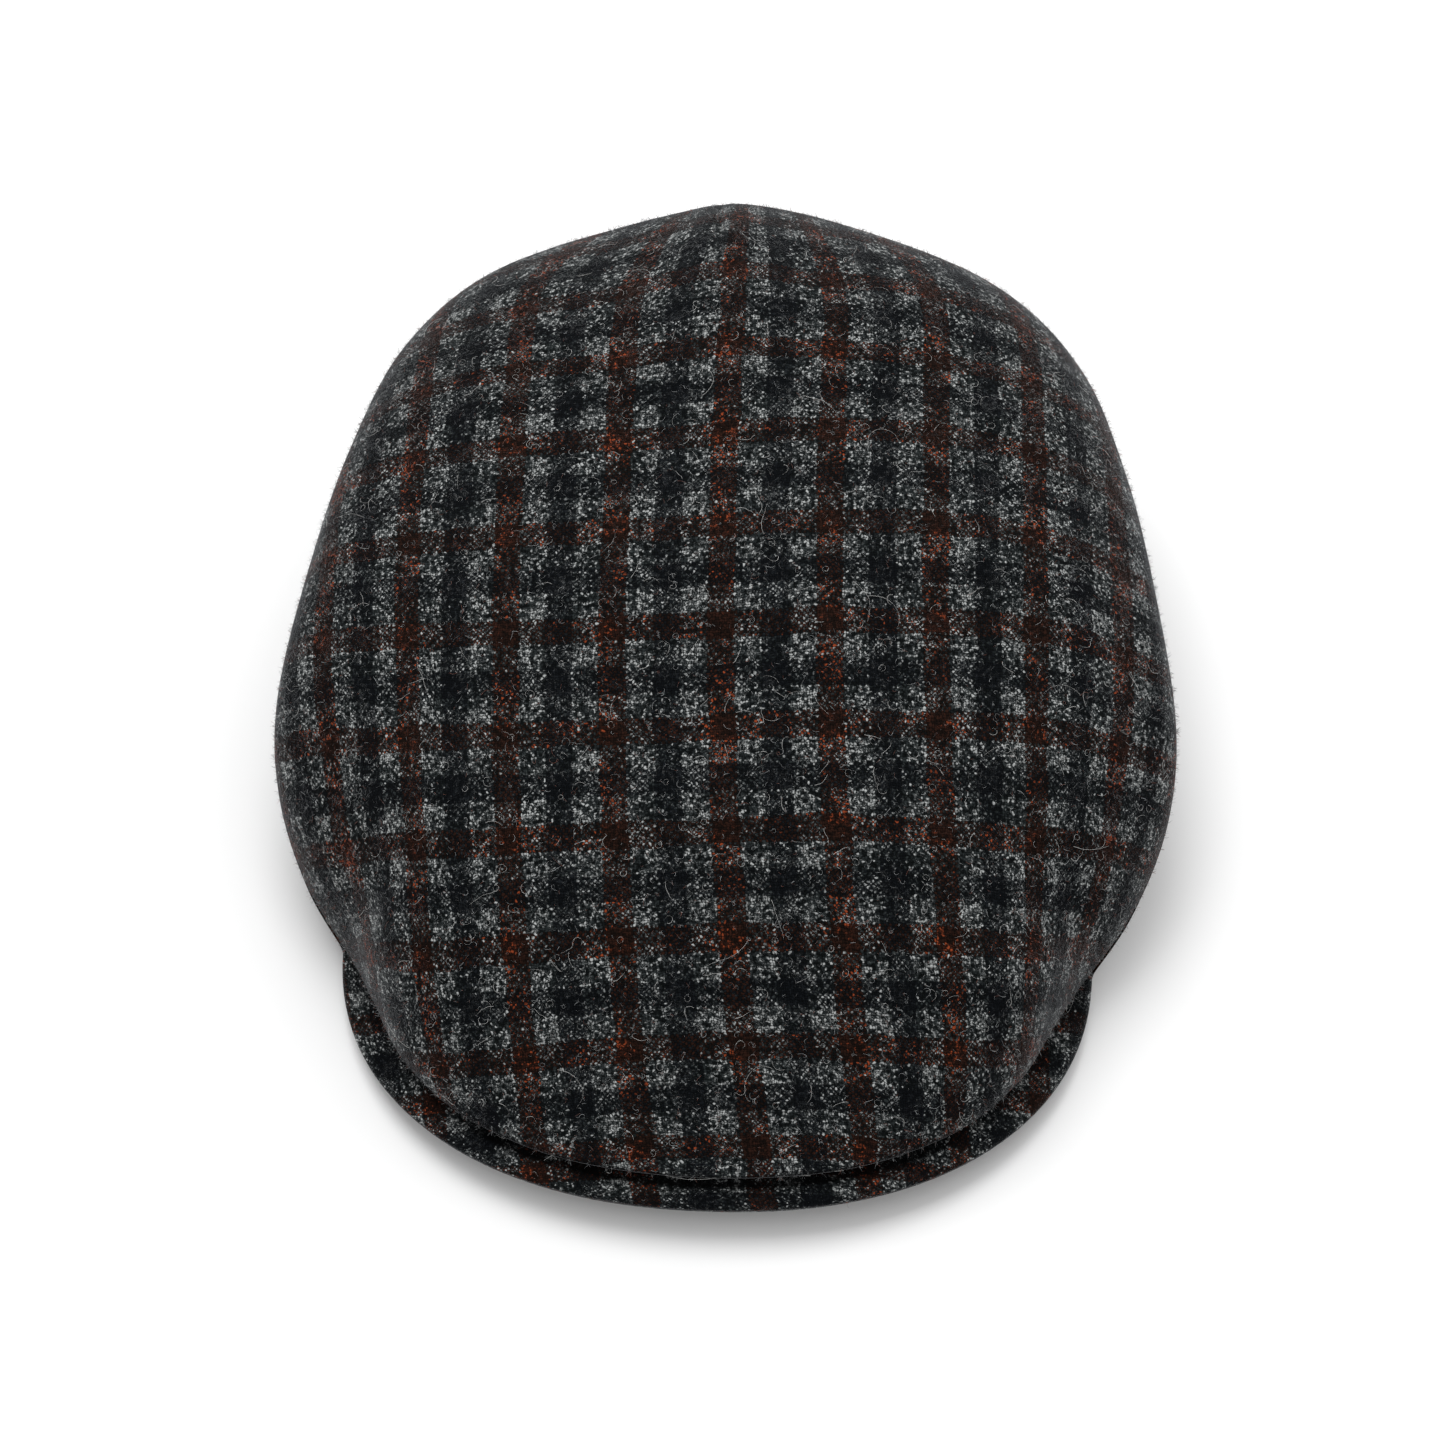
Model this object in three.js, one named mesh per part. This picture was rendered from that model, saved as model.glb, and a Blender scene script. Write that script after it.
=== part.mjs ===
// A tweed flat cap: a one-piece top panel that runs down over a stiff peak, two side panels that
// meet in a seam at the centre of the back, the cloth-covered peak, and a plain band in the rim.
// Millimetres, +Z up. The cap stands on its rim as it lies on a table, the peak towards -Y, and the
// origin is on the table under the middle of the cap's length and width.
import * as THREE from "three";

// Sizes of the whole cap.
const capLength = 278; // from the back of the crown to the front edge of the peak
const capWidth = 226; // across the fullest part of the crown
const crownHeight = 77; // from the table to the top of the crown
const crossFall = 14; // how far the top drops from its centre line to the side
const backOverhang = 17; // how far the crown stands out past the rim at the back

// Sizes of the head opening and of the band in it.
const headLength = 196;
const headWidth = 158;
const bandThickness = 1.6;
const bandHeight = 25;
const bandFrontHeight = 17;
const bandLift = 1; // how far the band's foot stands above the rim's

// Sizes of the cloth and its seams.
const clothThickness = 2;
const seamGap = 0.3;
const lipGap = 0.45; // between the top panel's front edge and the arched peak under it
const hemHeight = 6; // the upright edge at the foot of the side panels
const hemMostShare = 1 / 3; // the most of a side panel's height that it may take

// Sizes of the peak.
const peakWidth = 188;
const peakDepth = 77; // from its front edge back to where it is widest
const peakThickness = 4;
const peakEdgeRound = 1.6;
const peakEdgeMostShare = 0.4; // the most of the peak's width that the rounding may take
const peakRimShares = { under: 0.3, upper: 0.7 }; // of its thickness, the rim's two edges
const peakTipLift = 7; // how high the middle of its front edge stands off the table
const peakRootLift = 15; // how high it is where it meets the forehead
const peakWrap = 64; // degrees round the head from the front to each corner of the peak
const peakCornerWidth = 3;
const peakFullness = 2.2; // 2 makes the front of its outline half an ellipse, more makes it squarer
const peakFrontShare = 0.72; // the share of each half of its outline that is the front
const cornerTurn = THREE.MathUtils.degToRad(82); // how far the rest turns in round the corner
const peakShow = 5.5; // how much of the peak shows in front of the middle of the top panel
const lipHeight = 6; // thickness of the folded front edge of the top panel

// The lower edge of each side panel, along the peak and then round the rim of the head opening.
const footInset = 5.5; // how far in from the peak's edge it runs
const footSteps = 24; // points along the peak
const rimSteps = 48; // points round the rim
const rimStep = THREE.MathUtils.degToRad(1); // from the peak's corner to the first of these
const rimRamp = THREE.MathUtils.degToRad(11); // the turn in which it comes down to the table

// Where the top panel's front edge lies on the peak. side: share of the peak's half.
// show: how much of the peak shows in front of it there, as a share of peakShow.
// edge: how tightly the top panel rolls over there.
const lipRows = [
  { side: 0, show: 1, edge: 26 },
  { side: 0.16, show: 1, edge: 26 },
  { side: 0.31, show: 1.05, edge: 26 },
  { side: 0.45, show: 1.15, edge: 22 },
  { side: 0.57, show: 1.25, edge: 16 },
  { side: 0.67, show: 0.5, edge: 11 },
];

// The seam between the top and side panels, from the front corner of the crown to the back.
// along: -1 at the front of the cap, 1 at the back. out: share of half the width.
// up: share of the height from the peak's top to the crown's. edge: how tightly the top rolls over.
const seamRows = [
  { along: -0.4, out: 0.91, up: 0.155, edge: 8 },
  { along: -0.25, out: 0.985, up: 0.3, edge: 6 },
  { along: -0.08, out: 1.0, up: 0.42, edge: 5.5 },
  { along: 0.18, out: 0.955, up: 0.5, edge: 5.5 },
  { along: 0.42, out: 0.892, up: 0.555, edge: 5.5 },
  { along: 0.65, out: 0.791, up: 0.59, edge: 6 },
  { along: 0.82, out: 0.61, up: 0.615, edge: 7 },
  { along: 0.94, out: 0.31, up: 0.625, edge: 7.5 },
  { along: 1.0, out: 0, up: 0.63, edge: 8 },
];

// The centre line of the top panel behind its folded front edge, in the same shares.
const ridgeRows = [
  { along: -0.733, up: 0.415 },
  { along: -0.567, up: 0.595 },
  { along: -0.375, up: 0.73 },
  { along: -0.18, up: 0.835 },
  { along: 0.02, up: 0.92 },
  { along: 0.22, up: 0.962 },
  { along: 0.425, up: 0.985 },
  { along: 0.63, up: 1.0 },
  { along: 0.83, up: 0.985 },
  { along: 1.0, up: 0.955 },
];
const poleAlong = 0.02; // the point that the top panel's rings run round

// Soft dents in the top panel. across: share of half the width. long and wide: how far each
// reaches, in the same shares. deep: share of the crown's height.
const dents = [
  { along: 0.03, across: 0.9, long: 0.2, wide: 0.07, deep: 0.05 },
  { along: -0.37, across: -0.84, long: 0.09, wide: 0.1, deep: 0.04 },
  { along: -0.5, across: 0.7, long: 0.12, wide: 0.16, deep: 0.03 },
  { along: 0.8, across: -0.34, long: 0.2, wide: 0.22, deep: 0.03 },
];

// How finely the faces are cut.
const topSpokes = 96;
const topRings = 14;
const ringCrowding = 2.2; // above 1 sets the rings closer towards the edge
const sideFirstSpoke = 18; // the spoke of the top panel at which the side panels begin
const sideRows = 9;
const bellyPower = 1.7; // above 1 makes the side panels bulge below the seam
const peakColumns = 40;
const peakRows = 5;
const bandColumns = 72;

const edgeProbe = 0.5; // of a spoke, how far to each side the edge's direction is read
const peakLines = 120; // lines across half of the peak on which its height is looked up

const halfLength = capLength / 2;
const halfWidth = capWidth / 2;
const onPeakTop = peakThickness + seamGap;
const { clamp, degToRad, lerp, smoothstep } = THREE.MathUtils;

// The ellipses that nest round the head: the two faces of the band, and of the hem round it.
const grown = (ellipse, by) => ({ long: ellipse.long + by, wide: ellipse.wide + by });
const bandInner = { long: headLength / 2, wide: headWidth / 2 };
const bandOuter = grown(bandInner, bandThickness);
const hemInner = grown(bandOuter, seamGap);
const hemOuter = grown(hemInner, clothThickness);
const headCentre = halfLength - backOverhang - hemOuter.long;

// A point of one of those ellipses, turned by an angle from the front.
function roundHead(ellipse, angle, z) {
  const x = ellipse.wide * Math.sin(angle);
  return new THREE.Vector3(x, headCentre - ellipse.long * Math.cos(angle), z);
}

// A smooth step from one value to the next, with the slopes that it leaves and arrives with.
function smoothStep(from, to, leave, arrive, t) {
  const rise = t * t * (3 - 2 * t);
  return lerp(from, to, rise) + leave * t * (1 - t) ** 2 + arrive * t * t * (t - 1);
}

// The slope at a value, from the steps before and after it. The steady one never overshoots.
const freeSlope = (before, after) => (before + after) / 2;
const steadySlope = (before, after) =>
  before * after > 0 ? (2 * before * after) / (before + after) : 0;

// A smooth closed curve through rows of x, y, z and roll, read at a share of the way round.
function smoothLoop(rows, share) {
  const count = rows.length;
  const at = ((share + 1) % 1) * count;
  const i = Math.floor(at);
  const [a, b, c, d] = [-1, 0, 1, 2].map((k) => rows[(i + k + count) % count]);
  const slopes = [freeSlope, freeSlope, steadySlope, steadySlope];
  return slopes.map((slope, n) => {
    const leave = slope(b[n] - a[n], c[n] - b[n]);
    const arrive = slope(c[n] - b[n], d[n] - c[n]);
    return smoothStep(b[n], c[n], leave, arrive, at - i);
  });
}

// A smooth curve through rows with an along and a z, read at any along.
function smoothHeight(rows, along) {
  const last = rows.length - 1;
  const slope = (i) => {
    const [from, to] = [rows[Math.max(i - 1, 0)], rows[Math.min(i + 1, last)]];
    return (to.z - from.z) / (to.along - from.along);
  };
  const after = rows.findIndex((row) => row.along > along);
  const i = after < 0 ? last - 1 : Math.max(after - 1, 0);
  const [from, to] = [rows[i], rows[i + 1]];
  const span = to.along - from.along;
  const t = clamp((along - from.along) / span, 0, 1);
  return smoothStep(from.z, to.z, slope(i) * span, slope(i + 1) * span, t);
}

// The peak's two long edges on its underside, s from -1 at its left corner to 1 at its right one.
// The outer edge is half an ellipse in front, and turns in round each corner to the head.
function peakRoot(s) {
  return roundHead(hemInner, s * degToRad(peakWrap), peakRootLift * (1 - s * s));
}
function peakEdge(s) {
  const side = Math.abs(s);
  const widest = peakDepth - halfLength;
  const edge = new THREE.Vector3();
  if (side < peakFrontShare) {
    const turn = ((side / peakFrontShare) * Math.PI) / 2;
    edge.x = (peakWidth / 2) * Math.sin(turn) ** (2 / peakFullness);
    edge.y = widest - peakDepth * Math.cos(turn) ** (2 / peakFullness);
    edge.z = peakTipLift * Math.cos(turn);
  } else {
    const corner = peakRoot(1);
    const cornerX = corner.x + peakCornerWidth;
    const turn = ((side - peakFrontShare) / (1 - peakFrontShare)) * cornerTurn;
    edge.x = lerp(cornerX, peakWidth / 2, Math.cos(turn));
    edge.y = lerp(widest, corner.y, Math.sin(turn));
  }
  if (s < 0) edge.x = -edge.x;
  return edge;
}

// A point on the peak's upper face, set in from its outer edge, and kept off the head's side of it.
function onPeak(s, inset, keep = 0) {
  const [root, edge] = [peakRoot(s), peakEdge(s)];
  const width = root.distanceTo(edge);
  const point = edge.clone().lerp(root, Math.min(inset, width - keep) / width);
  point.z += peakThickness;
  return point;
}

// The height of the peak's upper face over a place, from the nearest of the lines across it.
function peakTopAt(x, y) {
  const place = new THREE.Vector3(Math.abs(x), y, 0);
  let [nearest, z] = [Infinity, 0];
  for (let i = 0; i <= peakLines; i += 1) {
    const [root, edge] = [peakRoot(i / peakLines), peakEdge(i / peakLines)];
    const line = new THREE.Line3(edge.clone().setZ(0), root.clone().setZ(0));
    const share = line.closestPointToPointParameter(place, true);
    const distance = line.at(share, new THREE.Vector3()).distanceTo(place);
    if (distance > nearest) continue;
    nearest = distance;
    z = lerp(edge.z, root.z, share) + peakThickness;
  }
  return z;
}

// How high the rim stands off the table, turned by an angle from the front: it comes down off each
// corner of the peak.
function rimLift(angle) {
  const start = degToRad(peakWrap) + rimStep;
  return onPeakTop * (1 - smoothstep(angle, start, start + rimRamp));
}

// The whole edge of the top panel: x, y, z and how tightly the top rolls over at each point.
const heightAt = (up) => lerp(onPeakTop, crownHeight, up);
const lipPoints = lipRows.map(({ side, show, edge }) => {
  const point = onPeak(side, show * peakShow);
  const z = onPeak(side, show * peakShow + clothThickness).z + lipGap;
  return [point.x, point.y, z, edge];
});
const seamPoints = seamRows.map((row) => [
  row.out * halfWidth,
  row.along * halfLength,
  heightAt(row.up),
  row.edge,
]);
const rightPoints = [...lipPoints, ...seamPoints];
const leftPoints = rightPoints.slice(1, -1).reverse();
const edgeLoop = [...rightPoints, ...leftPoints.map(([x, ...rest]) => [-x, ...rest])];

// A point of that edge, or of the same edge moved in by the cloth's thickness.
function edgePoint(spoke, inset) {
  const share = spoke / topSpokes;
  const [x, y, z, roll] = smoothLoop(edgeLoop, share);
  const step = edgeProbe / topSpokes;
  const [beforeX, beforeY] = smoothLoop(edgeLoop, share - step);
  const [afterX, afterY] = smoothLoop(edgeLoop, share + step);
  const along = new THREE.Vector2(afterX - beforeX, afterY - beforeY).normalize();
  return { x: x - inset * along.y, y: y + inset * along.x, z, roll };
}

// The top panel: a sheet with a centre line and a cross fall, rolled over to its edge all round.
const lipTop = onPeak(0, peakShow).z + lipHeight;
const lipRow = { along: peakShow / halfLength - 1, z: lipTop };
const centreLine = [lipRow, ...ridgeRows.map(({ along, up }) => ({ along, z: heightAt(up) }))];
function sheetHeight(x, y) {
  const [across, along] = [x / halfWidth, y / halfLength];
  let z = smoothHeight(centreLine, along) - crossFall * across ** 2;
  for (const dent of dents) {
    const far = ((along - dent.along) / dent.long) ** 2 + ((across - dent.across) / dent.wide) ** 2;
    z -= dent.deep * crownHeight * Math.exp(-far);
  }
  return z;
}
function topPoint(spoke, ring, inset) {
  const edge = edgePoint(spoke, inset);
  const x = edge.x * ring;
  const y = lerp(poleAlong * halfLength, edge.y, ring);
  const sheet = sheetHeight(x, y);
  const roll = Math.sqrt(Math.max(1 - ring ** edge.roll, 0));
  return new THREE.Vector3(x, y, lerp(edge.z, sheet - inset, roll));
}

// Collects triangles and gives them back as one geometry.
class Faces {
  constructor() {
    this.positions = [];
  }
  triangle(a, b, c) {
    for (const p of [a, b, c]) this.positions.push(p.x, p.y, p.z);
  }
  quad(a, b, c, d) {
    this.triangle(a, b, c);
    this.triangle(a, c, d);
  }
  geometry() {
    const made = new THREE.BufferGeometry();
    made.setAttribute("position", new THREE.Float32BufferAttribute(this.positions, 3));
    made.computeVertexNormals();
    return made;
  }
}

// A slab between two grids of points that match, its edges closed. In each grid the rows run round
// the piece; wraps says that they close on themselves.
function slab(outer, inner, wraps) {
  const faces = new Faces();
  const rows = outer.length - 1;
  const width = outer[0].length;
  const columns = wraps ? width : width - 1;
  const next = (j) => (j + 1) % width;
  for (let j = 0; j < columns; j += 1) {
    const k = next(j);
    for (let i = 0; i < rows; i += 1) {
      faces.quad(outer[i][j], outer[i + 1][j], outer[i + 1][k], outer[i][k]);
      faces.quad(inner[i][j], inner[i][k], inner[i + 1][k], inner[i + 1][j]);
    }
    faces.quad(outer[0][j], outer[0][k], inner[0][k], inner[0][j]);
    faces.quad(outer[rows][j], inner[rows][j], inner[rows][k], outer[rows][k]);
  }
  if (wraps) return faces.geometry();
  for (let i = 0; i < rows; i += 1) {
    faces.quad(outer[i][0], inner[i][0], inner[i + 1][0], outer[i + 1][0]);
    faces.quad(outer[i][columns], outer[i + 1][columns], inner[i + 1][columns], inner[i][columns]);
  }
  return faces.geometry();
}

// The top panel: rings of points round the pole on its outer face, and the same on its inner face.
function makeTopPanel() {
  const face = (inset) =>
    Array.from({ length: topRings }, (_, i) => {
      const ring = 1 - (1 - (i + 1) / topRings) ** ringCrowding;
      return Array.from({ length: topSpokes }, (__, spoke) => topPoint(spoke, ring, inset));
    });
  const [outer, inner] = [face(0), face(clothThickness)];
  const [pole, innerPole] = [topPoint(0, 0, 0), topPoint(0, 0, clothThickness)];
  const faces = new Faces();
  for (let j = 0; j < topSpokes; j += 1) {
    const k = (j + 1) % topSpokes;
    faces.triangle(pole, outer[0][j], outer[0][k]);
    faces.triangle(innerPole, inner[0][k], inner[0][j]);
    for (let i = 0; i + 1 < topRings; i += 1) {
      faces.quad(outer[i][j], outer[i + 1][j], outer[i + 1][k], outer[i][k]);
      faces.quad(inner[i][j], inner[i][k], inner[i + 1][k], inner[i + 1][j]);
    }
    const rim = topRings - 1;
    faces.quad(outer[rim][j], inner[rim][j], inner[rim][k], outer[rim][k]);
  }
  return faces.geometry();
}

// The line that a side panel stands on: from the top panel's edge, along the peak, down off its
// corner and round the rim.
function footLine(inset) {
  const start = edgePoint(sideFirstSpoke, inset);
  const points = [new THREE.Vector3(start.x, start.y, 0)];
  for (let i = 1; i < footSteps; i += 1) {
    const s = lerp(peakFrontShare, 1, i / footSteps);
    points.push(onPeak(s, footInset + inset, clothThickness - inset));
  }
  points.forEach((point) => point.setZ(peakTopAt(point.x, point.y) + seamGap));
  for (let i = 0; i <= rimSteps; i += 1) {
    const angle = lerp(degToRad(peakWrap) + rimStep, Math.PI, i / rimSteps);
    points.push(roundHead(grown(hemOuter, -inset), angle, rimLift(angle)));
  }
  return new THREE.CatmullRomCurve3(points, false, "centripetal");
}

// A side panel, from the seam under the top panel down to its hem. side is 1 for the right.
function makeSidePanel(side) {
  const columns = topSpokes / 2 - sideFirstSpoke;
  const face = (inset) => {
    const foot = footLine(inset);
    const grid = Array.from({ length: sideRows + 1 }, () => []);
    for (let j = 0; j <= columns; j += 1) {
      const top = edgePoint(sideFirstSpoke + j, inset);
      const low = foot.getPointAt(j / columns);
      low.z = Math.max(low.z, 0);
      const height = top.z - seamGap - low.z;
      const hem = Math.min(hemHeight, height * hemMostShare);
      for (let i = 0; i <= sideRows; i += 1) {
        const down = Math.min(i / (sideRows - 1), 1);
        const inward = down ** bellyPower;
        const x = lerp(top.x, low.x, inward);
        const y = lerp(top.y, low.y, inward);
        const z = i === sideRows ? low.z : lerp(top.z - seamGap, low.z + hem, down);
        grid[i].push(new THREE.Vector3(Math.max(x, seamGap / 2), y, z));
      }
    }
    return grid;
  };
  const [outer, inner] = [face(0), face(clothThickness)];
  if (side > 0) return slab(outer, inner, false);
  const mirror = (grid) => grid.map((row) => row.map((p) => p.clone().setX(-p.x)).reverse());
  return slab(mirror(outer), mirror(inner), false);
}

// The peak: a curved board between its root at the forehead and its rounded outer edge.
function makePeak() {
  const upper = Array.from({ length: peakRows + 2 }, () => []);
  const under = Array.from({ length: peakRows + 2 }, () => []);
  for (let j = 0; j <= peakColumns; j += 1) {
    const s = lerp(-1, 1, j / peakColumns);
    const [root, edge] = [peakRoot(s), peakEdge(s)];
    const flat = 1 - Math.min(peakEdgeRound / root.distanceTo(edge), peakEdgeMostShare);
    for (let i = 0; i <= peakRows; i += 1) {
      const low = root.clone().lerp(edge, (i / peakRows) * flat);
      under[i].push(low);
      upper[i].push(low.clone().setZ(low.z + peakThickness));
    }
    under[peakRows + 1].push(edge.clone().setZ(edge.z + peakRimShares.under * peakThickness));
    upper[peakRows + 1].push(edge.clone().setZ(edge.z + peakRimShares.upper * peakThickness));
  }
  return slab(upper, under, false);
}

// The band inside the rim: an upright strip round the head, lower at the front, above the peak's root.
function makeBand() {
  const edge = (ellipse, isTop) =>
    Array.from({ length: bandColumns }, (_, j) => {
      const angle = (2 * Math.PI * j) / bandColumns;
      const fromFront = Math.min(angle, 2 * Math.PI - angle);
      const s = Math.min(fromFront / degToRad(peakWrap), 1);
      const foot = bandLift + Math.max(peakRootLift * (1 - s * s), rimLift(fromFront));
      const back = smoothstep(fromFront, 0, Math.PI / 2);
      const height = lerp(bandFrontHeight, bandHeight, back);
      return roundHead(ellipse, angle, isTop ? foot + height : foot);
    });
  const outer = [edge(bandOuter, true), edge(bandOuter, false)];
  const inner = [edge(bandInner, true), edge(bandInner, false)];
  return slab(outer, inner, true);
}

const tweed = new THREE.MeshStandardMaterial({ color: 0x35322f, roughness: 0.95, metalness: 0 });
const bandCloth = new THREE.MeshStandardMaterial({ color: 0x1c1b1d, roughness: 0.85, metalness: 0 });

const cap = new THREE.Group();
function add(name, geometry, material) {
  const mesh = new THREE.Mesh(geometry, material);
  mesh.name = name;
  cap.add(mesh);
}
add("crown_top", makeTopPanel(), tweed);
add("crown_side_right", makeSidePanel(1), tweed);
add("crown_side_left", makeSidePanel(-1), tweed);
add("peak", makePeak(), tweed);
add("sweatband", makeBand(), bandCloth);

export default cap;
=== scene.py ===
import math
import random

import bpy
from mathutils import Matrix, Vector, noise


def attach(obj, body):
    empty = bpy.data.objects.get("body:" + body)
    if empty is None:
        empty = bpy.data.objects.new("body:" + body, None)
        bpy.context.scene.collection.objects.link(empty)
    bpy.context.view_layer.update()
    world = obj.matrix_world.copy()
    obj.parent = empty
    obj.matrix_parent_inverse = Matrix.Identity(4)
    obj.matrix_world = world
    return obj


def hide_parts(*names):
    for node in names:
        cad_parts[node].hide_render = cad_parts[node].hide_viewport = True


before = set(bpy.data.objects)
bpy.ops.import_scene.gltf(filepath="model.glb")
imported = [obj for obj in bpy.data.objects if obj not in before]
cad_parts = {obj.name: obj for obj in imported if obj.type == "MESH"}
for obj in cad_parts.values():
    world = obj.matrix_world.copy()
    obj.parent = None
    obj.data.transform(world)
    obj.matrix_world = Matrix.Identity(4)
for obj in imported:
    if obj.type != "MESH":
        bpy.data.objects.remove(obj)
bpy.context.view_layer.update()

# The picture. The cap lies on a plain pale table in soft studio light, seen from above and a little
# in front, with the peak towards the camera and the cap turned a little clockwise.
looked_at = Vector((-0.00125, -0.017, 0.040))
camera_away = 1.1
camera_rise = math.radians(55)
camera_turn = math.radians(2.4)
half_picture = 0.18
film_width = 36
room_light = 0.72
towards_camera = Vector(
    (
        math.sin(camera_turn) * math.cos(camera_rise),
        -math.cos(camera_turn) * math.cos(camera_rise),
        math.sin(camera_rise),
    )
)
bpy.ops.object.camera_add(location=looked_at + towards_camera * camera_away)
camera = bpy.context.object
camera.rotation_mode = "QUATERNION"
camera.rotation_quaternion = (-towards_camera).to_track_quat("-Z", "Y")
camera.data.sensor_width = film_width
camera.data.lens = film_width / 2 * camera_away / half_picture
bpy.context.scene.camera = camera
bpy.context.scene.view_settings.view_transform = "Standard"

for name, place, size, power in (
    ("light_over", (-0.35, 0.75, 1.7), 1.2, 19),
    ("light_front", (0.8, -1.5, 1.4), 1.6, 2),
    ("light_back", (0.5, 1.6, 0.9), 2.2, 14),
):
    bpy.ops.object.light_add(type="AREA", location=place)
    lamp = bpy.context.object
    lamp.name = name
    lamp.data.size = size
    lamp.data.energy = power
    lamp.rotation_mode = "QUATERNION"
    lamp.rotation_quaternion = (looked_at - lamp.location).to_track_quat("-Z", "Y")

room = bpy.data.worlds.new("room")
room.use_nodes = True
room.node_tree.nodes["Background"].inputs["Color"].default_value = (1, 1, 1, 1)
room.node_tree.nodes["Background"].inputs["Strength"].default_value = room_light
bpy.context.scene.world = room


# The shaders' sums are written as Python sums on this class. What isn't a sum comes from node().
class Value:
    def __init__(self, tree, socket=None):
        self.tree = tree
        self.socket = socket

    def node(self, kind, settings, inputs, output=0):
        made = self.tree.nodes.new("ShaderNode" + kind)
        for name, setting in settings.items():
            setattr(made, name, setting)
        for key, value in inputs.items():
            if isinstance(value, Value):
                self.tree.links.new(value.socket, made.inputs[key])
            else:
                made.inputs[key].default_value = value
        return Value(self.tree, made.outputs[output])

    def math(self, operation, *values):
        return self.node("Math", {"operation": operation}, dict(enumerate(values)))

    def __add__(self, other):
        return self.math("ADD", self, other)

    def __radd__(self, other):
        return self.math("ADD", other, self)

    def __sub__(self, other):
        return self.math("SUBTRACT", self, other)

    def __rsub__(self, other):
        return self.math("SUBTRACT", other, self)

    def __mul__(self, other):
        return self.math("MULTIPLY", self, other)

    def __rmul__(self, other):
        return self.math("MULTIPLY", other, self)

    def __truediv__(self, other):
        return self.math("DIVIDE", self, other)

    def __gt__(self, other):
        return self.math("GREATER_THAN", self, other)

    def __lt__(self, other):
        return self.math("LESS_THAN", self, other)

    def floor(self):
        return self.math("FLOOR", self)

    def fraction(self):
        return self.math("FRACT", self)

    def ramp(self, low, high):
        """0 below low, 1 above high, smooth between them."""
        settings = {"interpolation_type": "SMOOTHSTEP"}
        inputs = {"Value": self, "From Min": low, "From Max": high}
        return self.node("MapRange", settings, inputs)

    def noise(self, scale, detail=2, output=0, distortion=0, dimensions="2D"):
        """Noise over this vector; output 0 is a value and 1 a colour."""
        inputs = {"Vector": self, "Scale": scale, "Detail": detail, "Distortion": distortion}
        return self.node("TexNoise", {"noise_dimensions": dimensions}, inputs, output)

    def mix(self, one, other):
        """One colour where this mask is 0, the other where it is 1."""
        return self.node("Mix", {"data_type": "RGBA"}, {0: self, 6: one, 7: other}, 2)

    def vector(self, operation, *values):
        return self.node("VectorMath", {"operation": operation}, dict(enumerate(values)))


def new_material(name):
    made = bpy.data.materials.new(name)
    made.use_nodes = True
    made.node_tree.nodes.remove(made.node_tree.nodes["Principled BSDF"])
    return made, Value(made.node_tree)


def give_shader(start, shader):
    output = start.tree.nodes["Material Output"]
    start.tree.links.new(shader.socket, output.inputs["Surface"])


table_white = (0.93, 0.93, 0.93, 1)
table_shade = (0.9, 0.9, 0.9, 1)
table_half = 4
table_paint, start = new_material("table_paint")
place = start.node("TexCoord", {}, {}, "Object")
tint = place.noise(3, dimensions="3D").mix(table_shade, table_white)
give_shader(start, start.node("BsdfPrincipled", {}, {"Base Color": tint, "Roughness": 0.8}))
bpy.ops.mesh.primitive_plane_add(size=2 * table_half)
table = bpy.context.object
table.name = "table"
table.data.materials.append(table_paint)

# The tweed: a plain weave of soft woollen yarns, with the same stripes both ways, ten yarns each of
# rust, grey, navy and grey. The warp lies fuller than the weft. It is pale flecks and curly fibres
# that make the grey, and burnt orange ones the rust.
yarn = 0.000675
stripe_yarns = 10
repeat_yarns = 4 * stripe_yarns
warp_fuller = 0.07
grey_dark = (0.0034, 0.0045, 0.0047, 1)
grey_middle = (0.023, 0.028, 0.029, 1)
grey_pale = (0.42, 0.435, 0.43, 1)
rust_dark = (0.0068, 0.0038, 0.0028, 1)
rust_middle_tone = (0.024, 0.0094, 0.0060, 1)
rust_bright = (0.27, 0.052, 0.017, 1)
navy_dark = (0.0028, 0.0036, 0.0047, 1)
navy_middle = (0.0092, 0.0112, 0.0136, 1)
# How much of the colour the painted shade takes away in the crease under the front edge.
crease_shade_dark = 0.9

tweed, start = new_material("tweed")
cloth = start.node("UVMap", {"uv_map": "cloth"}, {})


def shifted(place, scale, detail, far):
    """A place in the cloth, moved up to half of far by noise of that scale."""
    shift = place.noise(scale, detail, output=1)
    shift = shift.vector("SUBTRACT", shift, (0.5, 0.5, 0.5))
    shift = shift.node("VectorMath", {"operation": "SCALE"}, {0: shift, "Scale": far})
    return place.vector("ADD", place, shift)


woven = shifted(shifted(cloth, 75, 2, 0.0018), 780, 1, 0.0011)
warp = woven.node("SeparateXYZ", {}, {"Vector": woven}, "X") / yarn
weft = woven.node("SeparateXYZ", {}, {"Vector": woven}, "Y") / yarn
warp_yarn = warp.floor()
weft_yarn = weft.floor()
warp_across = (warp - warp_yarn) * 2 - 1
weft_across = (weft - weft_yarn) * 2 - 1
warp_wave = (weft - 0.5 + warp_yarn) * math.pi
weft_wave = (warp + 0.5 + weft_yarn) * math.pi
warp_rise = warp_wave.math("COSINE", warp_wave) + 1 - warp_across * warp_across + warp_fuller
weft_rise = weft_wave.math("COSINE", weft_wave) + 1 - weft_across * weft_across
weft_over = weft_rise > warp_rise
rise = (warp_rise.math("MAXIMUM", warp_rise, weft_rise)) * 0.5
on_top = warp_yarn + weft_over * (weft_yarn - warp_yarn)
float_warp = ((weft + warp_yarn + 0.5) * 0.5).floor()
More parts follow.
